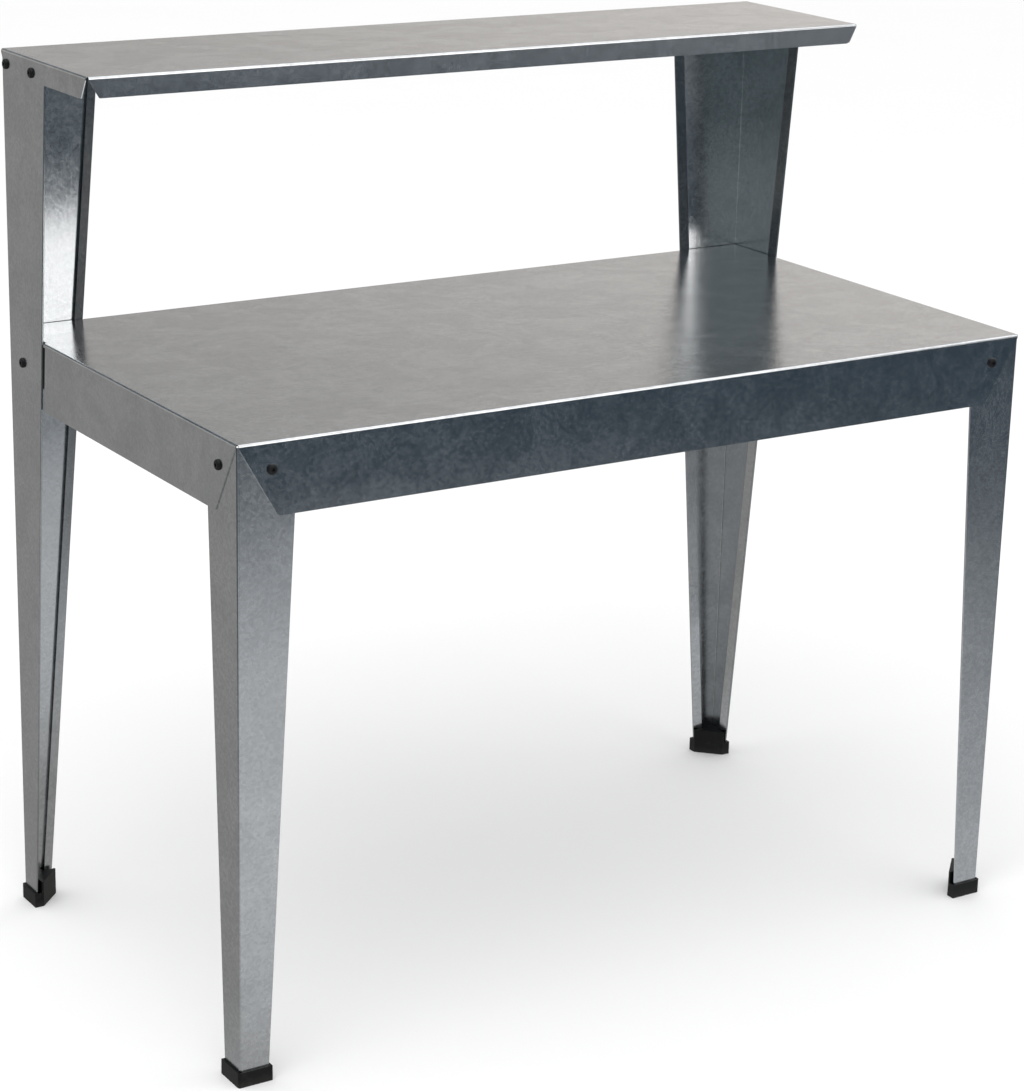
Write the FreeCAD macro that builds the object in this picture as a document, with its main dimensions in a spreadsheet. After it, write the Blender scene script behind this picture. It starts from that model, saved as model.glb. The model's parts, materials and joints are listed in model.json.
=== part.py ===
import FreeCAD, Part
import os
import re
import Sketcher

# Two-tier work bench folded from galvanised sheet: a worktop pan on four tapered
# angle legs, whose two rear ones carry on up to a narrow shelf pan.
# Frame: millimetres, +Z up, front towards -Y, origin on the floor under the middle.

SIZES = {
    # overall
    "benchWidth": 1120,        # over the shelf's side flanges
    "benchDepth": 611,         # front apron to the shelf's rear flange
    "benchHeight": 1117,       # floor to the top of the shelf
    "worktopHeight": 772,      # floor to the top of the worktop
    # sheet
    "sheetGauge": 1.2,
    "sheetFit": 0.1,           # play between two sheets bolted together
    "bendRadius": 3,           # outside of a fold
    "hemWidth": 13,            # free edges of legs, folded back inside
    "hemRise": 4,              # how far a hem's cut edge stands off the sheet
    "hemRoundness": 0.9,       # radius of a hem's fold over the gauge
    "cornerRelief": 0.2,       # a pan's corner notch reaches this far past the bend
    "bendLand": 4,             # straight end of a flange before its slanted cut
    "cutReach": 1,             # how far a cut runs on past the sheet
    # worktop
    "apronHeight": 86,
    "apronSlant": 48,          # how far the slanted end runs along the apron
    "apronReturn": 12,
    "apronCorner": 4,
    "returnClearance": 5,      # from a return to the leg beside it
    "hemSlotGap": 7,           # open slot in front of an upright's edge
    "hemPlay": 0.4,
    # shelf
    "shelfDepth": 248,
    "shelfLip": 25,
    "shelfReturn": 8,
    "shelfFlange": 27,
    "shelfSlant": 13,
    "shelfCorner": 2,
    # legs
    "legTopWidth": 76,
    "legFootWidth": 37.5,
    "uprightTopWidth": 127,
    "uprightFootWidth": 35,
    # feet
    "soleThickness": 4,
    "capHeight": 19,
    "capWall": 2.6,
    "capFit": 0.3,
    "capCorner": 3,
    "plugHeight": 35,
    # fasteners
    "boltDiameter": 6,
    "holePlay": 0.6,
    "headDiameter": 12.5,
    "headHeight": 3.4,
    "headRound": 2.6,
    "socketWidth": 4,
    "socketDepth": 2,
    "boltTip": 2,              # shank showing past its nut
    "washerDiameter": 12,
    "washerThickness": 1.6,
    "washerPlay": 0.4,
    "nutWidth": 10,
    "nutHeight": 5,
    "threadPlay": 0.1,
    # where the bolts go
    "legBoltInset": 43.5,
    "legBoltDrop": 32,
    "uprightBoltInset": 40,
    "uprightBoltDrop": 37,
    "shelfBoltFirst": 17,
    "shelfBoltSecond": 92,
    "shelfBoltDrop": 17,
}

# Faces that the pieces share, each one layer further in than the last.
LAYER = "(sheetGauge + sheetFit)"
SHELF_X = "(benchWidth / 2)"
SHELF_REAR = "(benchDepth / 2)"
SHELF_FRONT = "(benchDepth / 2 - shelfDepth)"
UPRIGHT_X = f"(benchWidth / 2 - {LAYER})"
UPRIGHT_Y = f"(benchDepth / 2 - {LAYER})"
TOP_X = f"(benchWidth / 2 - 2 * {LAYER})"
TOP_REAR = f"(benchDepth / 2 - 2 * {LAYER})"
TOP_FRONT = "(-benchDepth / 2)"
LEG_X = f"(benchWidth / 2 - 3 * {LAYER})"
LEG_Y = f"(benchDepth / 2 - {LAYER})"
APRON_BOTTOM = "(worktopHeight - apronHeight)"
LEG_END = "(worktopHeight - bendRadius - sheetFit)"
UPRIGHT_END = "(benchHeight - bendRadius - sheetFit)"
BOLTED_STACK = "(2 * sheetGauge + sheetFit)"

TOLERANCE = 0.02   # mm, when an edge is told by where it lies
LONG_EDGE = 100    # mm, shorter edges are never folds

doc = FreeCAD.newDocument("TwoTierBench")
sheet = doc.addObject("Spreadsheet::Sheet", "Sizes")
nodes = []


def fillSheet():
    for row, (name, value) in enumerate(SIZES.items(), start=1):
        sheet.set(f"A{row}", name)
        sheet.set(f"B{row}", str(value))
        sheet.setAlias(f"B{row}", name)
    doc.recompute()


def sized(formula):
    # Points every size named in a formula at its cell.
    return re.sub(r"[A-Za-z]+",
                  lambda word: ("Sizes." if word[0] in SIZES else "") + word[0], formula)


def legWidth(height):
    return f"(legFootWidth + (legTopWidth - legFootWidth) * ({height}) / worktopHeight)"


def uprightWidth(height):
    return f"(uprightFootWidth + (uprightTopWidth - uprightFootWidth) * ({height}) / benchHeight)"


# ---- features ----------------------------------------------------------------

def newBody(label):
    body = doc.addObject("PartDesign::Body", label)
    body.Label = label
    body.Placement = FreeCAD.Placement()
    return body


def newSketch(body, name, role, offset="0"):
    plane = next(item for item in body.Origin.OriginFeatures if item.Role == role)
    sketch = body.newObject("Sketcher::SketchObject", name)
    sketch.AttachmentSupport = [(plane, "")]
    sketch.MapMode = "FlatFace"
    sketch.setExpression("AttachmentOffset.Base.z", sized(offset))
    return sketch


def place(sketch, geometry, point, corner):
    for kind, formula in zip(("DistanceX", "DistanceY"), corner):
        number = sketch.addConstraint(Sketcher.Constraint(kind, -1, 1, geometry, point, 1.0))
        sketch.setExpression(f"Constraints[{number}]", sized(formula))


def drawOutline(sketch, corners):
    # A closed outline of straight edges; every corner is tied to its two formulas.
    first = sketch.GeometryCount
    count = len(corners)
    for step in range(count):
        start = FreeCAD.Vector(step, step * step, 0)
        end = FreeCAD.Vector(step + 1, (step + 1) * (step + 1), 0)
        sketch.addGeometry(Part.LineSegment(start, end), False)
    for step, corner in enumerate(corners):
        following = first + (step + 1) % count
        sketch.addConstraint(Sketcher.Constraint("Coincident", first + step, 2, following, 1))
        place(sketch, first + step, 1, corner)


def drawCircle(sketch, centre, diameter):
    circle = Part.Circle(FreeCAD.Vector(1, 1, 0), FreeCAD.Vector(0, 0, 1), 1)
    number = sketch.addGeometry(circle, False)
    place(sketch, number, 3, centre)
    datum = sketch.addConstraint(Sketcher.Constraint("Radius", number, 1.0))
    sketch.setExpression(f"Constraints[{datum}]", sized(f"({diameter}) / 2"))


def pad(body, sketch, name, length, backwards=False, lean=None):
    # lean gives a direction other than the sketch's normal; length stays along the normal.
    feature = body.newObject("PartDesign::Pad", name)
    feature.Profile = sketch
    feature.setExpression("Length", sized(length))
    feature.Reversed = backwards
    if lean:
        feature.UseCustomVector = True
        feature.AlongSketchNormal = True
        for axis, formula in zip("xyz", lean):
            feature.setExpression(f"Direction.{axis}", sized(formula))
    doc.recompute()
    return feature


def pocket(body, sketch, name, length, backwards=False, bothWays=False):
    before = body.Shape.Volume
    feature = body.newObject("PartDesign::Pocket", name)
    feature.Profile = sketch
    feature.setExpression("Length", sized(length))
    feature.Reversed = backwards
    feature.Midplane = bothWays
    doc.recompute()
    if not 0 < body.Shape.Volume < before - TOLERANCE:
        raise RuntimeError(f"{body.Label}: {name} cut nothing")
    return feature


def rounded(body, name, radius, wanted):
    # Fillets the edges of the body's tip that wanted() picks.
    base = body.Tip
    edges = enumerate(base.Shape.Edges, start=1)
    names = [f"Edge{number}" for number, edge in edges if wanted(edge)]
    if not names:
        raise RuntimeError(f"{body.Label}: {name} found no edge")
    feature = body.newObject("PartDesign::Fillet", name)
    feature.Base = (base, names)
    feature.setExpression("Radius", sized(radius))
    doc.recompute()
    return feature


def drill(body, name, role, offset, centres):
    # Clearance holes through the sheet whose face lies at the given offset.
    sketch = newSketch(body, name + "Centres", role, offset)
    for centre in centres:
        drawCircle(sketch, centre, "boltDiameter + holePlay")
    pocket(body, sketch, name, "2 * (sheetGauge + cutReach)", bothWays=True)


def value(formula):
    # The present value of a formula, worked out by the sheet's own expression engine.
    return float(sheet.evalExpression(sized(formula)))


def near(number, target):
    return abs(number - target) < TOLERANCE


def ends(edge):
    return edge.BoundBox.XMin, edge.BoundBox.XMax, edge.BoundBox.YMin, edge.BoundBox.YMax


# ---- folded pans -------------------------------------------------------------

def flangeOutline(start, finish, top, drop, slant):
    # A flange hanging from a fold, both its ends cut back at a slant.
    return [(start, top), (start, f"{top} - bendLand"),
            (f"{start} + {slant}", f"{top} - {drop}"), (f"{finish} - {slant}", f"{top} - {drop}"),
            (finish, f"{top} - bendLand"), (finish, top)]


def foldedPan(label, halfWidth, front, rear, top, drops, slant, corner):
    # A plate with four flanges folded down from it, its corners notched at the folds.
    body = newBody(label)
    notch = "(bendRadius + cornerRelief)"
    plate = newSketch(body, label + "PlateOutline", "XY_Plane", top)
    corners = []
    for side, edge, first in ((-1, front, 0), (1, front, 1), (1, rear, 0), (-1, rear, 1)):
        inward = notch if edge == front else f"-{notch}"
        alongFold = (f"{side} * ({halfWidth} - {notch})", edge)
        inNotch = (f"{side} * ({halfWidth} - {notch})", f"{edge} + {inward}")
        alongSide = (f"{side} * {halfWidth}", f"{edge} + {inward}")
        corners += [alongFold, inNotch, alongSide] if first else [alongSide, inNotch, alongFold]
    drawOutline(plate, corners)
    pad(body, plate, label + "Plate", "sheetGauge", backwards=True)

    across = (f"-({halfWidth} - {notch})", f"({halfWidth} - {notch})")
    along = (f"({front} + {notch})", f"({rear} - {notch})")
    frontFlange = newSketch(body, label + "FrontOutline", "XZ_Plane", f"-({front})")
    drawOutline(frontFlange, flangeOutline(*across, top, drops["front"], slant))
    pad(body, frontFlange, label + "Front", "sheetGauge", backwards=True)
    rearFlange = newSketch(body, label + "RearOutline", "XZ_Plane", f"-({rear})")
    drawOutline(rearFlange, flangeOutline(*across, top, drops["rear"], slant))
    pad(body, rearFlange, label + "Rear", "sheetGauge")
    for side, name in ((-1, "Left"), (1, "Right")):
        flange = newSketch(body, label + name + "Outline", "YZ_Plane", f"{side} * {halfWidth}")
        drawOutline(flange, flangeOutline(*along, top, drops["side"], slant))
        pad(body, flange, label + name, "sheetGauge", backwards=side > 0)
    roundPan(body, halfWidth, front, rear, top, drops, corner)
    return body


def roundPan(body, halfWidth, front, rear, top, drops, corner):
    x, y0, y1, z = (value(formula) for formula in (halfWidth, front, rear, top))
    gauge = SIZES["sheetGauge"]
    bottoms = [z - value(drop) for drop in drops.values()]

    def fold(edge, inset, height):
        x0, x1, v0, v1 = ends(edge)
        if not (near(edge.BoundBox.ZMin, height) and near(edge.BoundBox.ZMax, height)):
            return False
        lengthways = near(v0, v1) and (near(v0, y0 + inset) or near(v0, y1 - inset))
        sideways = near(x0, x1) and near(abs(x0), x - inset)
        return edge.Length > LONG_EDGE and (lengthways or sideways)

    def lowerCorner(edge):
        box = edge.BoundBox
        atBottom = any(near(box.ZMin, low) and near(box.ZMax, low) for low in bottoms)
        return near(edge.Length, gauge) and atBottom

    rounded(body, body.Label + "OuterBends", "bendRadius",
            lambda edge: fold(edge, 0, z))
    rounded(body, body.Label + "InnerBends", "bendRadius - sheetGauge",
            lambda edge: fold(edge, gauge, z - gauge))
    rounded(body, body.Label + "LowerCorners", corner, lowerCorner)


def addReturn(body, name, low, outline):
    # A narrow strip folded inwards at the bottom of a flange.
    sketch = newSketch(body, name + "Outline", "XY_Plane", low)
    drawOutline(sketch, outline)
    pad(body, sketch, name, "sheetGauge")


def box2d(x0, y0, x1, y1):
    return [(x0, y0), (x1, y0), (x1, y1), (x0, y1)]


def hemSlotOutline(mirror, face):
    # Lets an upright's hem through the fold and leaves a slot in front of its edge.
    high, low = "(worktopHeight + cutReach)", f"({APRON_BOTTOM} - cutReach)"
    shoulder = "(worktopHeight - bendRadius - sheetGauge)"

    def edgeAt(height, extra):
        return f"{mirror} * ({face} - {uprightWidth(height)} + ({extra}))"

    return [(edgeAt(low, "-hemSlotGap"), low), (edgeAt(shoulder, "-hemSlotGap"), shoulder),
            (edgeAt(shoulder, "-hemPlay"), shoulder), (edgeAt(high, "-hemPlay"), high),
            (edgeAt(high, "hemWidth + hemPlay"), high), (edgeAt(low, "hemWidth + hemPlay"), low)]


def makeWorktop():
    drops = {"front": "apronHeight", "rear": "apronHeight", "side": "apronHeight"}
    body = foldedPan("worktop", TOP_X, TOP_FRONT, TOP_REAR, "worktopHeight", drops,
                     "apronSlant", "apronCorner")
    pastLeg = f"({LEG_X} - {legWidth('worktopHeight')} - returnClearance)"
    pastUpright = f"({UPRIGHT_X} - {uprightWidth('worktopHeight')} - returnClearance)"
    wall = "sheetGauge / 2"
    addReturn(body, "frontReturn", APRON_BOTTOM,
              box2d(f"-{pastLeg}", f"{TOP_FRONT} + {wall}",
                    pastLeg, f"{TOP_FRONT} + apronReturn"))
    addReturn(body, "rearReturn", APRON_BOTTOM,
              box2d(f"-{pastUpright}", f"{TOP_REAR} - {wall}",
                    pastUpright, f"{TOP_REAR} - apronReturn"))
    sideStart = f"-({LEG_Y} - {legWidth('worktopHeight')} - returnClearance)"
    sideEnd = f"({UPRIGHT_Y} - {uprightWidth('worktopHeight')} - hemSlotGap - returnClearance)"
    for side, name in ((-1, "leftReturn"), (1, "rightReturn")):
        addReturn(body, name, APRON_BOTTOM,
                  box2d(f"{side} * ({TOP_X} - {wall})", sideStart,
                        f"{side} * ({TOP_X} - apronReturn)", sideEnd))
    notchDepth = "2 * (sheetGauge + hemRise + hemPlay)"
    for side, name in ((-1, "Left"), (1, "Right")):
        slot = newSketch(body, f"side{name}SlotOutline", "YZ_Plane", f"{side} * {TOP_X}")
        drawOutline(slot, hemSlotOutline(1, UPRIGHT_Y))
        pocket(body, slot, f"side{name}Slot", notchDepth, bothWays=True)
        slot = newSketch(body, f"rear{name}SlotOutline", "XZ_Plane", f"-{TOP_REAR}")
        drawOutline(slot, hemSlotOutline(side, UPRIGHT_X))
        pocket(body, slot, f"rear{name}Slot", notchDepth, bothWays=True)
    legHoleZ = "worktopHeight - legBoltDrop"
    rearHoleZ = "worktopHeight - uprightBoltDrop"
    drill(body, "frontHoles", "XZ_Plane", f"-{TOP_FRONT}",
          [(f"{side} * ({TOP_X} - legBoltInset)", legHoleZ) for side in (-1, 1)])
    drill(body, "rearHoles", "XZ_Plane", f"-{TOP_REAR}",
          [(f"{side} * ({UPRIGHT_X} - uprightBoltInset)", rearHoleZ) for side in (-1, 1)])
    for side, name in ((-1, "leftHoles"), (1, "rightHoles")):
        drill(body, name, "YZ_Plane", f"{side} * {TOP_X}",
              [(f"{TOP_FRONT} + legBoltInset", legHoleZ),
               (f"{UPRIGHT_Y} - uprightBoltInset", rearHoleZ)])
    nodes.append(body)


def makeShelf():
    drops = {"front": "shelfLip", "rear": "shelfFlange", "side": "shelfFlange"}
    body = foldedPan("upper_shelf", SHELF_X, SHELF_FRONT, SHELF_REAR, "benchHeight", drops,
                     "shelfSlant", "shelfCorner")
    inset = "bendRadius + cornerRelief + shelfSlant + shelfCorner"
    addReturn(body, "lipReturn", "benchHeight - shelfLip",
              box2d(f"-({SHELF_X} - ({inset}))", f"{SHELF_FRONT} + sheetGauge / 2",
                    f"{SHELF_X} - ({inset})", f"{SHELF_FRONT} + shelfReturn"))
    holeZ = "benchHeight - shelfBoltDrop"
    for side, name in ((-1, "leftHoles"), (1, "rightHoles")):
        drill(body, "shelf_" + name, "YZ_Plane", f"{side} * {SHELF_X}",
              [(f"{SHELF_REAR} - {inset}", holeZ)
               for inset in ("shelfBoltFirst", "shelfBoltSecond")])
    drill(body, "shelf_rearHoles", "XZ_Plane", f"-{SHELF_REAR}",
          [(f"{side} * ({SHELF_X} - shelfBoltSecond)", holeZ) for side in (-1, 1)])
    nodes.append(body)


# ---- angle legs --------------------------------------------------------------

def cornerPoint(post, inX, inY):
    # A point measured inwards from a post's two outer faces.
    return (f"{post['sideX']} * ({post['faceX']} - ({inX}))",
            f"{post['sideY']} * ({post['faceY']} - ({inY}))")


def blade(side, face, widthAt, top):
    # One flange's outline, from the sole to the top, wider the higher it gets.
    low, high = "soleThickness", top
    return [(f"{side} * {face}", low), (f"{side} * ({face} - {widthAt(low)})", low),
            (f"{side} * ({face} - {widthAt(high)})", high), (f"{side} * {face}", high)]


def makePost(post):
    # An angle of one sheet; its free edges are folded back inside and stand a little open.
    label, widthAt = post["label"], post["widthAt"]
    body = newBody(label)
    sketch = newSketch(body, label + "CrossOutline", "XZ_Plane", f"-({post['sideY']}) * {post['faceY']}")
    drawOutline(sketch, blade(post["sideX"], post["faceX"], widthAt, post["top"]))
    pad(body, sketch, label + "Cross", "sheetGauge", backwards=post["sideY"] < 0)
    sketch = newSketch(body, label + "SideOutline", "YZ_Plane", f"{post['sideX']} * {post['faceX']}")
    drawOutline(sketch, blade(post["sideY"], post["faceY"], widthAt, post["top"]))
    pad(body, sketch, label + "Side", "sheetGauge", backwards=post["sideX"] > 0)

    edge = widthAt("soleThickness")
    fold, cut = f"({edge} - sheetGauge)", f"({edge} - hemWidth)"
    section = [(edge, "sheetGauge / 2"), (edge, "2 * sheetGauge"),
               (cut, "2 * sheetGauge + hemRise"), (cut, "sheetGauge + hemRise"),
               (fold, "sheetGauge"), (fold, "sheetGauge / 2")]
    leanX, leanY = f"-({post['sideX']}) * {post['taper']}", f"-({post['sideY']}) * {post['taper']}"
    rise = f"{post['top']} - soleThickness"
    sketch = newSketch(body, label + "CrossHemOutline", "XY_Plane", "soleThickness")
    drawOutline(sketch, [cornerPoint(post, along, depth) for along, depth in section])
    pad(body, sketch, label + "CrossHem", rise, lean=(leanX, "0", "1"))
    sketch = newSketch(body, label + "SideHemOutline", "XY_Plane", "soleThickness")
    drawOutline(sketch, [cornerPoint(post, depth, along) for along, depth in section])
    pad(body, sketch, label + "SideHem", rise, lean=("0", leanY, "1"))
    roundPost(body, post)
    for name, role, offset, centres in post["holes"]:
        drill(body, f"{label}{name}", role, offset, centres)
    nodes.append(body)


def roundPost(body, post):
    faceX, faceY = value(post["faceX"]), value(post["faceY"])
    low = SIZES["soleThickness"]
    gauge = SIZES["sheetGauge"]
    footWidth = value(post["widthAt"]("soleThickness"))

    def upright(edge, spots):
        # True for a long edge whose foot lies at one of the spots, measured inwards.
        if edge.Length < LONG_EDGE or len(edge.Vertexes) < 2:
            return False
        foot = min((vertex.Point for vertex in edge.Vertexes), key=lambda point: point.z)
        inX = faceX - post["sideX"] * foot.x
        inY = faceY - post["sideY"] * foot.y
        return near(foot.z, low) and any(near(inX, a) and near(inY, b) for a, b in spots)

    hemEdges = [(footWidth, 0), (footWidth, 2 * gauge), (0, footWidth), (2 * gauge, footWidth)]
    label = body.Label
    rounded(body, label + "OuterBend", "bendRadius",
            lambda edge: upright(edge, [(0, 0)]))
    rounded(body, label + "InnerBend", "bendRadius - sheetGauge",
            lambda edge: upright(edge, [(gauge, gauge)]))
    rounded(body, label + "HemFolds", "sheetGauge * hemRoundness",
            lambda edge: upright(edge, hemEdges))


def frontPost(sideX, label):
    holeZ = "worktopHeight - legBoltDrop"
    return {"label": label, "sideX": sideX, "sideY": -1, "faceX": LEG_X, "faceY": LEG_Y,
            "widthAt": legWidth, "taper": "((legTopWidth - legFootWidth) / worktopHeight)",
            "top": LEG_END,
            "holes": [("SideHole", "YZ_Plane", f"{sideX} * {LEG_X}",
                       [(f"{TOP_FRONT} + legBoltInset", holeZ)]),
                      ("FrontHole", "XZ_Plane", LEG_Y,
                       [(f"{sideX} * ({TOP_X} - legBoltInset)", holeZ)])]}


def rearPost(sideX, label):
    workZ, shelfZ = "worktopHeight - uprightBoltDrop", "benchHeight - shelfBoltDrop"
    sideCentres = [(f"{UPRIGHT_Y} - uprightBoltInset", workZ),
                   (f"{SHELF_REAR} - shelfBoltFirst", shelfZ),
                   (f"{SHELF_REAR} - shelfBoltSecond", shelfZ)]
    rearCentres = [(f"{sideX} * ({UPRIGHT_X} - uprightBoltInset)", workZ),
                   (f"{sideX} * ({SHELF_X} - shelfBoltSecond)", shelfZ)]
    return {"label": label, "sideX": sideX, "sideY": 1, "faceX": UPRIGHT_X, "faceY": UPRIGHT_Y,
            "widthAt": uprightWidth, "taper": "((uprightTopWidth - uprightFootWidth) / benchHeight)",
            "top": UPRIGHT_END,
            "holes": [("SideHoles", "YZ_Plane", f"{sideX} * {UPRIGHT_X}", sideCentres),
                      ("RearHoles", "XZ_Plane", f"-{UPRIGHT_Y}", rearCentres)]}


# ---- feet --------------------------------------------------------------------

def makeFoot(post, label):
    # A moulded corner cap: a low wall round the outside and a taller plug inside the angle.
    body = newBody(label)
    width = post["widthAt"]("capHeight")
    wall, thin = "(capFit + capWall)", "(sheetGauge + capFit)"
    deep, knee = "(2 * sheetGauge + hemRise + capFit)", "(bendRadius + capFit)"
    hemStart = f"({post['widthAt']('soleThickness')} - hemWidth - capFit)"
    far = f"({width} + {wall})"
    blunt = f"({deep} + capWall)"

    def outline(steps):
        return [cornerPoint(post, inX, inY) for inX, inY in steps]

    cap = newSketch(body, label + "CapOutline", "XY_Plane")
    drawOutline(cap, outline([(f"-{wall}", f"-{wall}"), (far, f"-{wall}"), (far, blunt),
                              (blunt, far), (f"-{wall}", far)]))
    pad(body, cap, label + "Cap", "capHeight")
    plug = newSketch(body, label + "PlugOutline", "XY_Plane")
    drawOutline(plug, outline([(knee, thin), (hemStart, thin), (hemStart, deep), (far, deep),
                               (far, blunt), (blunt, far), (deep, far), (deep, hemStart),
                               (thin, hemStart), (thin, knee)]))
    pad(body, plug, label + "Plug", "plugHeight")
    cornerX, cornerY = map(value, cornerPoint(post, f"-{wall}", f"-{wall}"))

    def cornerEdge(edge):
        box = edge.BoundBox
        upright = near(box.XMin, cornerX) and near(box.XMax, cornerX)
        return upright and near(box.YMin, cornerY) and near(box.YMax, cornerY)

    rounded(body, label + "CapCorner", "capCorner", cornerEdge)
    play = f"({width} + capFit)"
    slot = newSketch(body, label + "SlotOutline", "XY_Plane", "capHeight")
    drawOutline(slot, outline([("-capFit", "-capFit"), (play, "-capFit"), (play, deep), (hemStart, deep),
                               (hemStart, thin), (knee, thin), (thin, knee), (thin, hemStart),
                               (deep, hemStart), (deep, play), ("-capFit", play)]))
    pocket(body, slot, label + "Slot", "capHeight - soleThickness")
    nodes.append(body)


# ---- fasteners ---------------------------------------------------------------

def hexagon(across):
    flat, tip = f"({across}) / 2", f"({across}) / sqrt(3)"
    half = f"{tip} / 2"
    return [(tip, "0"), (half, flat), (f"-({half})", flat), (f"-({tip})", "0"),
            (f"-({half})", f"-({flat})"), (half, f"-({flat})")]


def makeBolt():
    # Low round head on the outside at +Z, shank towards -Z, socket in the head.
    body = newBody("boltMaster")
    profile = newSketch(body, "boltProfile", "XZ_Plane")
    shank = f"-({BOLTED_STACK} + washerThickness + nutHeight + boltTip)"
    radius, head = "boltDiameter / 2", "headDiameter / 2"
    drawOutline(profile, [("0", shank), (radius, shank), (radius, "0"), (head, "0"),
                          (head, "headHeight"), ("0", "headHeight")])
    turned = body.newObject("PartDesign::Revolution", "boltTurned")
    turned.Profile = profile
    turned.ReferenceAxis = (profile, ["V_Axis"])
    turned.Angle = 360
    doc.recompute()
    crown = SIZES["headHeight"]
    rounded(body, "boltCrown", "headRound",
            lambda edge: edge.Closed and near(edge.BoundBox.ZMin, crown))
    socket = newSketch(body, "boltSocketOutline", "XY_Plane", "headHeight")
    drawOutline(socket, hexagon("socketWidth"))
    pocket(body, socket, "boltSocket", "socketDepth")
    return body


def makeWasher():
    body = newBody("washerMaster")
    rings = newSketch(body, "washerRings", "XY_Plane", f"-{BOLTED_STACK}")
    drawCircle(rings, ("0", "0"), "washerDiameter")
    drawCircle(rings, ("0", "0"), "boltDiameter + washerPlay")
    pad(body, rings, "washerRing", "washerThickness", backwards=True)
    return body


def makeNut():
    body = newBody("nutMaster")
    outline = newSketch(body, "nutOutline", "XY_Plane", f"-({BOLTED_STACK} + washerThickness)")
    drawOutline(outline, hexagon("nutWidth"))
    drawCircle(outline, ("0", "0"), "boltDiameter + threadPlay")
    pad(body, outline, "nutBlock", "nutHeight", backwards=True)
    return body


def outwardTurn(axis, sign):
    # Turns a fastener's +Z to point out of the face it sits on.
    direction = FreeCAD.Vector(sign, 0, 0) if axis == "x" else FreeCAD.Vector(0, sign, 0)
    return FreeCAD.Rotation(FreeCAD.Vector(0, 0, 1), direction)


def makeFasteners(joint, seats, masters):
    # One node each of bolts, washers and nuts for every seat of a joint.
    for kind, master in masters.items():
        copies = []
        for number, (axis, sign, spot) in enumerate(seats, start=1):
            copy = doc.addObject("App::Link", f"{joint}_{kind}_{number}")
            copy.LinkedObject = master
            copy.Placement = FreeCAD.Placement(FreeCAD.Vector(), outwardTurn(axis, sign))
            for name, formula in zip("xyz", spot):
                copy.setExpression(f"Placement.Base.{name}", sized(formula))
            copies.append(copy)
        group = doc.addObject("Part::Compound", f"{joint}_{kind}")
        group.Label = f"{joint}_{kind}"
        group.Links = copies
        nodes.append(group)


def jointSeats(side):
    # Where the bolts of one side sit: front leg, rear upright at the worktop, shelf.
    legZ = "worktopHeight - legBoltDrop"
    workZ = "worktopHeight - uprightBoltDrop"
    shelfZ = "benchHeight - shelfBoltDrop"
    sideSpot = f"{side} * {TOP_X}", f"{TOP_FRONT} + legBoltInset", legZ
    frontSpot = f"{side} * ({TOP_X} - legBoltInset)", TOP_FRONT, legZ
    rearSide = f"{side} * {UPRIGHT_X}", f"{UPRIGHT_Y} - uprightBoltInset", workZ
    rearBack = f"{side} * ({UPRIGHT_X} - uprightBoltInset)", UPRIGHT_Y, workZ
    shelfSides = [(f"{side} * {SHELF_X}", f"{SHELF_REAR} - {inset}", shelfZ)
                  for inset in ("shelfBoltFirst", "shelfBoltSecond")]
    shelfBack = f"{side} * ({SHELF_X} - shelfBoltSecond)", SHELF_REAR, shelfZ
    return {"front": [("x", side, sideSpot), ("y", -1, frontSpot)],
            "rear": [("x", side, rearSide), ("y", 1, rearBack)],
            "shelf": [("x", side, spot) for spot in shelfSides] + [("y", 1, shelfBack)]}


# ---- the bench ---------------------------------------------------------------

def checkDocument():
    doc.recompute()
    for item in doc.Objects:
        bad = [state for state in item.State if state in ("Invalid", "Error")]
        if bad:
            raise RuntimeError(f"{item.Name} is {bad}")
    for node in nodes:
        if node.Shape.isNull() or not node.Shape.isValid():
            raise RuntimeError(f"{node.Label} has no valid shape")


def main():
    fillSheet()
    makeWorktop()
    makeShelf()
    posts = [(frontPost(-1, "front_left_leg"), "front_left_foot"),
             (frontPost(1, "front_right_leg"), "front_right_foot"),
             (rearPost(-1, "rear_left_upright"), "rear_left_foot"),
             (rearPost(1, "rear_right_upright"), "rear_right_foot")]
    for post, footLabel in posts:
        makePost(post)
        makeFoot(post, footLabel)
    masters = {"bolts": makeBolt(), "washers": makeWasher(), "nuts": makeNut()}
    for side, sideName in ((-1, "left"), (1, "right")):
        for joint, seats in jointSeats(side).items():
            makeFasteners(f"{joint}_{sideName}", seats, masters)
    checkDocument()
    os.makedirs("parts", exist_ok=True)
    for node in nodes:
        node.Shape.exportStep(f"parts/{node.Label}.step")
        box = node.Shape.BoundBox
        print(f"{node.Label}: {len(node.Shape.Solids)} solids, {node.Shape.Volume:.0f} mm3, "
              f"x {box.XMin:.1f}..{box.XMax:.1f}, y {box.YMin:.1f}..{box.YMax:.1f}, "
              f"z {box.ZMin:.1f}..{box.ZMax:.1f}")


main()
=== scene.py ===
import json
import math

import bmesh
import bpy
from mathutils import Matrix, Vector


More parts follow.
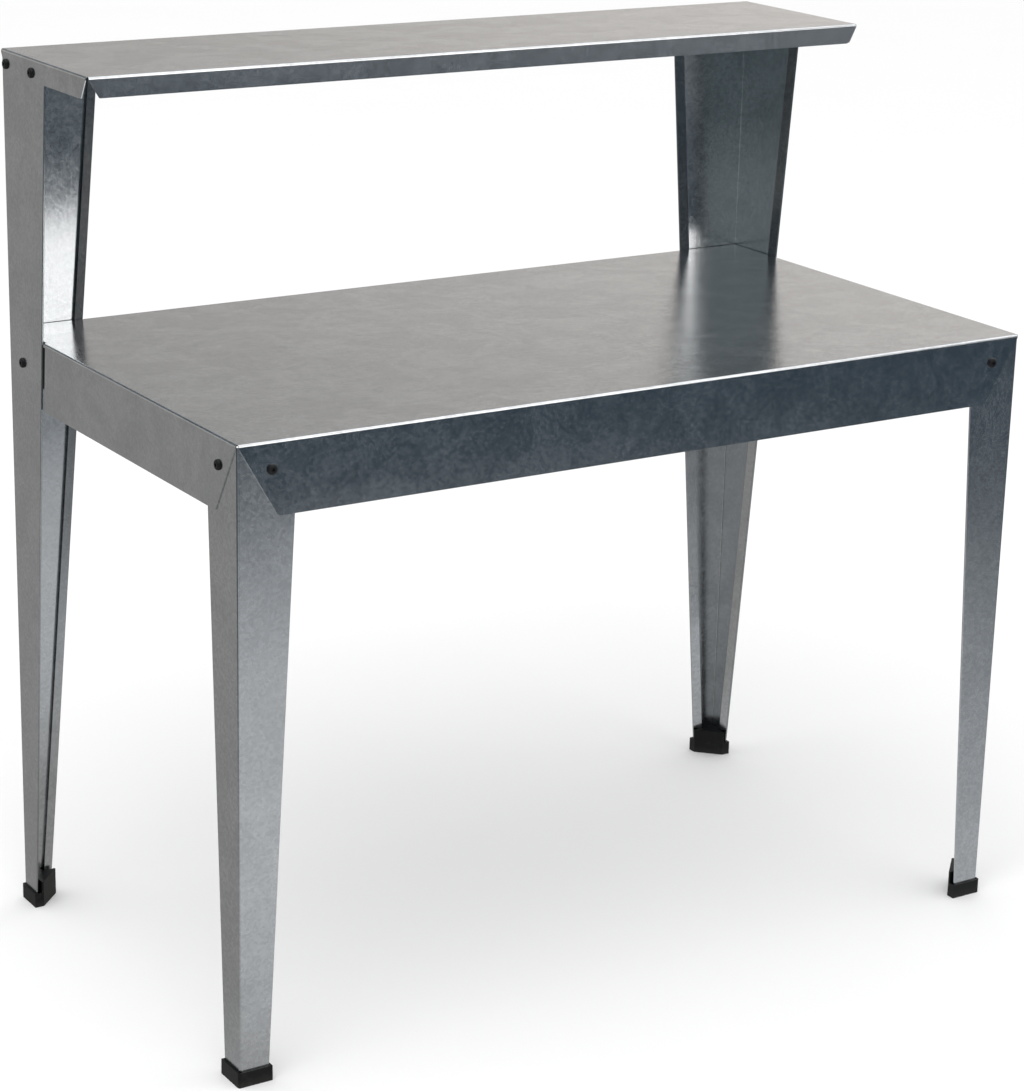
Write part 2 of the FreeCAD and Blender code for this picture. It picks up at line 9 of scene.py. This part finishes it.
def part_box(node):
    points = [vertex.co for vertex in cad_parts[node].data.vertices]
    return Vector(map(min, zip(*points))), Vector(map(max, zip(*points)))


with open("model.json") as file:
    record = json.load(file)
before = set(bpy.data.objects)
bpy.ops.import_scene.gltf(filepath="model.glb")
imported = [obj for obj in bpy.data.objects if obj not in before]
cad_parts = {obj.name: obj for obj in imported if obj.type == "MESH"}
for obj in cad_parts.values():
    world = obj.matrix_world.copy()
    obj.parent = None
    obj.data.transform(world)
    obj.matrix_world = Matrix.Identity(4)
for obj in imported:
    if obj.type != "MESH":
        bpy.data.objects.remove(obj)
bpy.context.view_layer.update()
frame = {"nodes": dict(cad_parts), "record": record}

# Two-tier galvanised work bench: every sheet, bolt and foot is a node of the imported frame.
# This script gives each its finish, and sets up the floor, the studio and the camera.


class Signal:
    # One socket's value; sums and products of signals add their own Math nodes.
    def __init__(self, recipe, socket):
        self.recipe = recipe
        self.socket = socket

    def maths(self, operation, *values):
        return self.recipe.add("ShaderNodeMath", {"operation": operation}, dict(enumerate(values)))

    def __add__(self, other):
        return self.maths("ADD", self, other)

    def __radd__(self, other):
        return self.maths("ADD", other, self)

    def __sub__(self, other):
        return self.maths("SUBTRACT", self, other)

    def __rsub__(self, other):
        return self.maths("SUBTRACT", other, self)

    def __mul__(self, other):
        return self.maths("MULTIPLY", self, other)

    def __rmul__(self, other):
        return self.maths("MULTIPLY", other, self)

    def least(self, other):
        return self.maths("MINIMUM", self, other)

    def size(self):
        return self.maths("ABSOLUTE", self)

    def rise(self, low, high):
        # 0 below low and 1 above high, or the other way round when low is the larger.
        settings = {"interpolation_type": "SMOOTHSTEP"}
        if low < high:
            return self.recipe.add("ShaderNodeMapRange", settings, {0: self, 1: low, 2: high, 3: 0.0, 4: 1.0})
        return self.recipe.add("ShaderNodeMapRange", settings, {0: self, 1: high, 2: low, 3: 1.0, 4: 0.0})


class Recipe:
    # The node tree of one material or of the world.
    def __init__(self, tree):
        self.tree = tree
        tree.nodes.clear()

    def add(self, kind, settings=None, values=None, output=0):
        node = self.tree.nodes.new(kind)
        for name, setting in (settings or {}).items():
            setattr(node, name, setting)
        for name, value in (values or {}).items():
            if isinstance(value, Signal):
                self.tree.links.new(value.socket, node.inputs[name])
            else:
                node.inputs[name].default_value = value
        return Signal(self, node.outputs[output]) if node.outputs else node

    def place(self):
        return self.add("ShaderNodeTexCoord", output="Object")

    def stretched(self, place, scale):
        return self.add("ShaderNodeMapping", {}, {"Vector": place, "Scale": scale})

    def noise(self, place, size, detail=2.0, roughness=0.5, distortion=0.0):
        values = {"Vector": place, "Scale": 1 / size, "Detail": detail, "Roughness": roughness,
                  "Distortion": distortion}
        return self.add("ShaderNodeTexNoise", {}, values)

    def cells(self, place, size):
        values = {"Vector": place, "Scale": 1 / size}
        return self.add("ShaderNodeTexVoronoi", {"feature": "F1"}, values, "Color")

    def vector(self, operation, *values):
        output = "Value" if operation in ("DOT_PRODUCT", "LENGTH") else "Vector"
        return self.add("ShaderNodeVectorMath", {"operation": operation}, dict(enumerate(values)), output)

    def parts(self, vector):
        return [self.add("ShaderNodeSeparateXYZ", {}, {0: vector}, output) for output in "XYZ"]

    def blend(self, factor, first, second):
        # Mixes two colours.
        settings = {"data_type": "RGBA"}
        return self.add("ShaderNodeMix", settings, {0: factor, 6: first, 7: second}, 2)

    def shade(self, colour, value):
        # A colour times a number.
        first = colour if isinstance(colour, Signal) else colour[:3]
        return self.add("ShaderNodeVectorMath", {"operation": "SCALE"}, {0: first, "Scale": value}, "Vector")

    def emit(self, colour):
        light = self.add("ShaderNodeEmission", {}, {"Color": colour, "Strength": 1.0})
        self.add("ShaderNodeOutputMaterial", {}, {"Surface": light})

    def cover(self, values):
        surface = self.add("ShaderNodeBsdfPrincipled", {}, values)
        self.add("ShaderNodeOutputMaterial", {}, {"Surface": surface})

    def bump(self, heights):
        # Heights are in metres.
        return self.add("ShaderNodeBump", {}, {"Height": heights, "Strength": 1.0, "Distance": 1.0})


def newMaterial(name):
    material = bpy.data.materials.new(name)
    material.use_nodes = True
    return material, Recipe(material.node_tree)


def rgb(red, green, blue):
    return red, green, blue, 1.0


sheetLook = {
    "spangle": 0.0036,        # metres across one zinc crystal
    "wanderSize": 0.010,      # the crystals' outlines are pushed about by a noise this coarse
    "wander": 0.004,
    "grain": 0.0012,
    "cloud": 0.060,
    "haze": 0.24,
    "grainShade": 0.16,
    "hazeShade": 0.10,
    "waveSize": 0.35,
    "waveHeight": 0.002,
    "zinc": rgb(0.62, 0.635, 0.645),
    "pale": rgb(0.70, 0.71, 0.72),
    "rolledLength": 0.050,    # the mill's rolling marks, long one way and very fine the other
    "rolledWidth": 0.0007,
}
sheetKinds = {
    # how strongly each pattern shows on each sheet
    "worktop_sheet": {"lean": 0, "spangle": 0.10, "cloud": 0.07, "roughness": 0.17,
                      "wave": 0.5, "tilt": 0.006, "rolled": 0.00011, "along": "x",
                      "top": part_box("worktop")[1][2]},
    "shelf_sheet": {"lean": 0, "spangle": 0.10, "cloud": 0.10, "roughness": 0.17,
                    "wave": 0.5, "tilt": 0.006, "rolled": 0.00011, "along": "x",
                    "top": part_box("upper_shelf")[1][2]},
    "leg_sheet": {"lean": 0.025, "spangle": 0.15, "cloud": 0.03, "roughness": 0.22,
                  "wave": 0.4, "tilt": 0.008, "rolled": 0.00004, "along": "z", "top": 0},
    "upright_sheet": {"lean": 0, "spangle": 0.13, "cloud": 0.04, "roughness": 0.20,
                      "wave": 0.4, "tilt": 0.008, "rolled": 0.00004, "along": "z", "top": 0},
}


# Painted shade, set on by place to fit the studio above all; 0 for hem, inner or hidden turns it off.
shadeLook = {
    "footWidth": 0.035,       # metres across one flange of an upright at the floor
    "hemWidth": 0.0132,
    "hem": 0.42,              # painted shade: how much darker the folded hems are
    "inner": 0.3,             # painted shade on the side flanges' inner faces under the worktop
    "hidden": 0.9,            # painted shade on the faces shut in between the aprons and the uprights
    "throughSheet": (0.0003, 0.0009),
    "cornerReach": (0.11, 0.09),    # how far the painted shade reaches into the worktop's shut-in rear corners
    "rearHemFade": (0.1, 0.6),      # the rear hem's painted shade fades out between these heights
}


def innerFace(depth):
    # 0 on a sheet's outer face and 1 on its inner one; depth is from the outer face
    return depth.rise(*shadeLook["throughSheet"])


# Painted shade on the rear uprights: darker hems, darker inner side-flange faces under the worktop, and
# darker faces shut in behind the aprons.
def uprightShade(recipe, place):
    low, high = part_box("rear_left_upright")
    worktopLow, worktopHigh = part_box("worktop")
    eastward, northward, upward = recipe.parts(place)
    inX, inY = -low.x - eastward.size(), high.y - northward      # from the two outer faces
    inside = innerFace(inX) * innerFace(inY)
    behind = upward.rise(worktopLow.z, worktopLow.z + 0.002)
    behind = behind * upward.rise(worktopHigh.z - 0.001, worktopHigh.z - 0.003)
    below = upward.rise(worktopLow.z + 0.002, worktopLow.z) * innerFace(inX) * inX.rise(0.0030, 0.0026)
    foot = shadeLook["footWidth"]
    widen = (high.x - low.x - foot) / high.z
    hemStart = upward * widen + (foot - shadeLook["hemWidth"])
    rearHem = (inX - hemStart).rise(-0.0002, 0.0002) * inY.rise(0.0016, 0.0020)
    rearHem = rearHem * upward.rise(*shadeLook["rearHemFade"])
    sideHem = (inY - hemStart).rise(-0.0002, 0.0002) * inX.rise(0.0016, 0.0020)
    hem = rearHem + sideHem * upward.rise(worktopHigh.z - 0.02, worktopHigh.z)
    # the painted shade is multiplied into the sheet's brightness
    return ((1.0 - inside * behind * shadeLook["hidden"]) * (1.0 - below * shadeLook["inner"])
            * (1.0 - hem.least(1.0) * shadeLook["hem"]))


# Painted shade in the worktop's rear inner corners, shut in beside the uprights.
def worktopShade(recipe, place):
    low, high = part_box("worktop")
    eastward, northward, upward = recipe.parts(place)
    inX, inY = -low.x - eastward.size(), high.y - northward
    reach = shadeLook["cornerReach"]
    corner = inX.rise(*reach) * inY.rise(*reach) * upward.rise(high.z - 0.0006, high.z - 0.0010)
    return 1.0 - corner * innerFace(inX) * innerFace(inY) * shadeLook["hidden"]


shades = {"upright_sheet": uprightShade, "worktop_sheet": worktopShade}


def galvanised(name, kind):
    material, recipe = newMaterial(name)
    place = recipe.place()
    height = recipe.parts(place)[2]
    topFace = height.rise(kind["top"] - 0.003, kind["top"] - 0.0008) if kind["top"] else 1.0
    values = {"Vector": place, "Scale": 1 / sheetLook["wanderSize"], "Detail": 2.0}
    wander = recipe.add("ShaderNodeTexNoise", {}, values, "Color")
    crystalPlace = recipe.vector("MULTIPLY_ADD", wander, [sheetLook["wander"]] * 3, place)
    crystal = recipe.cells(crystalPlace, sheetLook["spangle"])
    lightness = recipe.parts(crystal)[0]
    grain = recipe.noise(place, sheetLook["grain"], detail=2.0)
    cloud = recipe.noise(place, sheetLook["cloud"], detail=5.0, roughness=0.62, distortion=0.6)
    cloud = cloud.rise(0.40, 0.62)
    haze = recipe.noise(place, sheetLook["haze"], detail=3.0)
    long, fine = 1 / sheetLook["rolledLength"], 1 / sheetLook["rolledWidth"]
    scale = [long if axis == kind["along"] else fine for axis in "xyz"]
    rolled = recipe.noise(recipe.stretched(place, scale), 1.0, detail=1.0)

    brightness = (1.0 + (lightness - 0.5) * kind["spangle"] + (grain - 0.5) * sheetLook["grainShade"]
                  + (cloud - 0.5) * kind["cloud"] + (haze - 0.5) * sheetLook["hazeShade"])
    base = recipe.blend(cloud * 0.3, sheetLook["zinc"], sheetLook["pale"])
    # painted shade by place on the uprights and the worktop
    if name in shades:
        brightness = brightness * shades[name](recipe, place)
    colour = recipe.shade(base, brightness)
    roughness = (kind["roughness"] + (cloud - 0.5) * 0.02 + (lightness - 0.5) * 0.04 + (grain - 0.5) * 0.05)

    waves = recipe.noise(place, sheetLook["waveSize"], detail=1.0)
    heights = waves * (kind["wave"] * sheetLook["waveHeight"]) + rolled * topFace * kind["rolled"]
    bumped = recipe.bump(heights)
    spread = kind["tilt"]
    lean = recipe.vector("MULTIPLY_ADD", crystal, [spread] * 3, [-spread / 2] * 3)
    if kind["lean"]:
        # the left leg leans out a little at its foot
        sunk = recipe.parts(place)[0].rise(0.3, -0.3) * -kind["lean"]
        lean = recipe.vector("ADD", lean, recipe.add("ShaderNodeCombineXYZ", {}, {"Z": sunk}))
    normal = recipe.vector("NORMALIZE", recipe.vector("ADD", bumped, lean))
    values = {"Base Color": colour, "Metallic": 1.0, "Roughness": roughness, "Normal": normal}
    recipe.cover(values)
    return material


darkLook = {
    "oxide": rgb(0.008, 0.008, 0.009),
    "worn": rgb(0.040, 0.040, 0.042),
    "rubber": rgb(0.004, 0.004, 0.004),
    "dust": rgb(0.028, 0.026, 0.024),
}


def blackened(name):
    material, recipe = newMaterial(name)
    place = recipe.place()
    blotch = recipe.noise(place, 0.004, detail=4.0, roughness=0.6)
    rub = recipe.noise(place, 0.0012, detail=3.0).rise(0.60, 0.74)
    colour = recipe.blend(rub * 0.5, darkLook["oxide"], darkLook["worn"])
    bump = recipe.bump(blotch * 0.00004)
    values = {"Base Color": colour, "Metallic": 0.3, "Roughness": 0.34 + blotch * 0.25, "Normal": bump}
    recipe.cover(values)
    return material


def rubbery(name):
    material, recipe = newMaterial(name)
    place = recipe.place()
    height = recipe.parts(place)[2]
    pebble = recipe.noise(place, 0.0009, detail=2.0)
    scuff = recipe.noise(place, 0.012, detail=5.0, roughness=0.65).rise(0.52, 0.72)
    dusty = (height.rise(0.012, 0.0) * 0.5 + scuff * 0.35).least(1.0)
    colour = recipe.blend(dusty, darkLook["rubber"], darkLook["dust"])
    bump = recipe.bump(pebble * 0.00012)
    values = {"Base Color": colour, "Roughness": 0.42 + dusty * 0.3, "Normal": bump,
              "Specular IOR Level": 0.25}
    recipe.cover(values)
    return material


def finishNodes():
    finishes = {slot: galvanised(slot, kind) for slot, kind in sheetKinds.items()}
    finishes.update({slot: blackened(slot) for slot in ("black_bolt", "black_washer", "black_nut")})
    finishes["foot_rubber"] = rubbery("foot_rubber")
    for row in frame["record"]["subparts"]:
        node = frame["nodes"][row["node"]]
        for slot in node.material_slots:
            slot.material = finishes[row["material_slot"]]
    print("finishes on", len(frame["nodes"]), "nodes")


# The metal mirrors the bench itself and a made-up room and floor; the camera sees white ones.
studio = {
    "floorRadius": 60.0,
    "domeRadius": 45.0,
    "white": 1.22,
    "floorColour": rgb(0.84, 0.84, 0.84),
    # the room the metal mirrors: walls behind the bench and in front of it, and what is above
    "wallLeft": rgb(0.435, 0.418, 0.402),
    "wallRight": rgb(0.710, 0.672, 0.640),
    "frontLeft": rgb(0.36, 0.40, 0.41),
    "frontRight": rgb(0.050, 0.060, 0.072),
    "skirting": 0.22,             # how much brighter the back wall is low down
    "upperWall": rgb(0.10, 0.14, 0.17),
    "ceiling": rgb(1.5, 1.5, 1.52),
    "boxLight": rgb(2.65, 2.60, 2.56),
    "boxEdges": (-0.30, 0.07),    # the softbox's left and right sides
    # the floor it mirrors: a lit pool in front that falls off into the dark
    "pool": rgb(0.60, 0.615, 0.63),
    "poolDepth": (-2.5, -1.3),
    "poolWidth": (2.4, -0.2),
    "frontDark": rgb(0.040, 0.060, 0.080),
    "frontFar": rgb(0.245, 0.262, 0.28),
    "frontLeftFloor": rgb(0.105, 0.135, 0.150),
    "rearFloor": rgb(0.308, 0.305, 0.298),
    "leftDark": rgb(0.060, 0.072, 0.078),
}


bearings = {
    # level directions, east and north, that the mirrored room's and floor's parts are set out along
    "right": (0.809, 0.588),
    "boxward": (0.588, -0.809),
    "front": (0.54, -0.84),
    "leftward": (0.84, 0.54),
    "back": (0.54, 0.84),
    "across": (0.84, -0.54),
}


def along(eastward, northward, bearing):
    east, north = bearings[bearing]
    return eastward * east + northward * north


def mirroredOnly(thing):
    # Only reflections see it.
    for ray in ("camera", "diffuse", "transmission", "volume_scatter", "shadow"):
        setattr(thing, "visible_" + ray, False)
    thing.data.materials[0].cycles.emission_sampling = "NONE"


def stagePiece(name, build, material):
    mesh = bmesh.new()
    build(mesh)
    data = bpy.data.meshes.new(name)
    mesh.to_mesh(data)
    mesh.free()
    data.materials.append(material)
    thing = bpy.data.objects.new(name, data)
    bpy.context.scene.collection.objects.link(thing)
    return thing


def disc(radius, height):
    def build(mesh):
        turn = Matrix.Translation((0, 0, height))
        bmesh.ops.create_circle(mesh, cap_ends=True, segments=96, radius=radius, matrix=turn)
    return build


def dome(radius):
    def build(mesh):
        bmesh.ops.create_icosphere(mesh, subdivisions=5, radius=radius)
    return build


def makeStudio():
    material, recipe = newMaterial("floor")
    tone = recipe.noise(recipe.place(), 0.6, detail=2.0)
    colour = recipe.shade(studio["floorColour"], 0.99 + tone * 0.02)
    recipe.cover({"Base Color": colour, "Roughness": 0.9})
    floor = stagePiece("floor", disc(studio["floorRadius"], 0.0), material)
    floor.visible_glossy = False

    material, recipe = newMaterial("mirroredFloor")
    place = recipe.place()
    eastward, northward, _ = recipe.parts(place)
    sideways = along(eastward, northward, "right")
    inFront = along(eastward, northward, "front").rise(-0.35, 0.45)
    lit = northward.rise(*studio["poolDepth"]) * (0.1 + eastward.rise(*studio["poolWidth"]) * 0.9)
    front = recipe.blend(lit, studio["frontDark"], studio["pool"])
    far = recipe.vector("LENGTH", place).rise(4.9, 9.0)
    front = recipe.blend(far, front, studio["frontFar"])
    front = recipe.blend(sideways.rise(-1.8, -3.4), front, studio["frontLeftFloor"])
    leftward = along(eastward, northward, "leftward").rise(-1.0, -2.0)
    rear = recipe.blend(leftward, studio["rearFloor"], studio["leftDark"])
    recipe.emit(recipe.blend(inFront, rear, front))
    mirroredOnly(stagePiece("mirroredFloor", disc(studio["domeRadius"] * 0.98, 0.0), material))

    material, recipe = newMaterial("mirroredRoom")
    towards = recipe.vector("NORMALIZE", recipe.place())
    eastward, northward, upward = recipe.parts(towards)
    across = along(eastward, northward, "across").rise(-0.25, 0.25)
    back = recipe.blend(across, studio["wallLeft"], studio["wallRight"])
    back = recipe.shade(back, 1.0 + upward.rise(0.22, 0.12) * studio["skirting"])
    sideways = along(eastward, northward, "right")
    front = recipe.blend(sideways.rise(-0.95, -0.5), studio["frontLeft"], studio["frontRight"])
    behind = along(eastward, northward, "back").rise(-0.1, 0.3)
    room = recipe.blend(behind, front, back)
    room = recipe.blend(upward.rise(0.30, 0.44), room, studio["upperWall"])
    room = recipe.blend((upward + eastward * 0.25).rise(0.60, 0.76), room, studio["ceiling"])
    left, right = studio["boxEdges"]
    box = sideways.rise(left - 0.03, left + 0.03)
    box = box * sideways.rise(right + 0.01, right - 0.01)
    box = box * upward.rise(0.03, 0.10) * upward.rise(0.52, 0.42)
    box = box * along(eastward, northward, "boxward").rise(0.0, 0.3)
    recipe.emit(recipe.blend(box, room, studio["boxLight"]))
    mirroredOnly(stagePiece("mirroredRoom", dome(studio["domeRadius"]), material))

    world = bpy.data.worlds.new("studioAir")
    bpy.context.scene.world = world
    world.use_nodes = True
    recipe = Recipe(world.node_tree)
    air = recipe.add("ShaderNodeBackground", {}, {"Color": rgb(1, 1, 1), "Strength": studio["white"]})
    recipe.add("ShaderNodeOutputWorld", {}, {"Surface": air})
    print("studio ready")


lamps = {
    # name: place, size, watts
    "overhead": ((-1.4, -1.2, 3.6), 3.0, 40.0),
}


def makeLamps():
    for name, (spot, size, power) in lamps.items():
        lamp = bpy.data.lights.new(name, "AREA")
        lamp.shape = "DISK"
        lamp.size = size
        lamp.energy = power
        thing = bpy.data.objects.new(name, lamp)
        thing.location = spot
        thing.rotation_euler = (Vector((0, 0, 0.5)) - Vector(spot)).to_track_quat("-Z", "Y").to_euler()
        thing.visible_glossy = False
        bpy.context.scene.collection.objects.link(thing)
    print("lamps ready")


cameraSetting = {
    "place": (-1.9812, -3.0742, 1.6613),
    "heading": 0.5714,      # radians from +Y towards +X
    "dip": 0.3104,          # radians below the horizon
    "roll": 0.0247,
    "lens": 98.64,
}


def makeCamera():
    heading, dip, roll = (cameraSetting[key] for key in ("heading", "dip", "roll"))
    forward = Vector((math.sin(heading) * math.cos(dip), math.cos(heading) * math.cos(dip), -math.sin(dip)))
    level = Vector((math.cos(heading), -math.sin(heading), 0.0))
    above = level.cross(forward)
    right = math.cos(roll) * level + math.sin(roll) * above
    up = math.cos(roll) * above - math.sin(roll) * level
    lens = bpy.data.cameras.new("benchCamera")
    lens.lens = cameraSetting["lens"]
    lens.sensor_width = 36.0
    lens.clip_end = 200.0
    camera = bpy.data.objects.new("benchCamera", lens)
    turn = Matrix((right, up, -forward)).transposed().to_4x4()
    camera.matrix_world = Matrix.Translation(cameraSetting["place"]) @ turn
    bpy.context.scene.collection.objects.link(camera)
    bpy.context.scene.camera = camera
    bpy.context.scene.view_settings.view_transform = "Standard"
    print("camera ready")


finishNodes()
makeStudio()
makeLamps()
makeCamera()
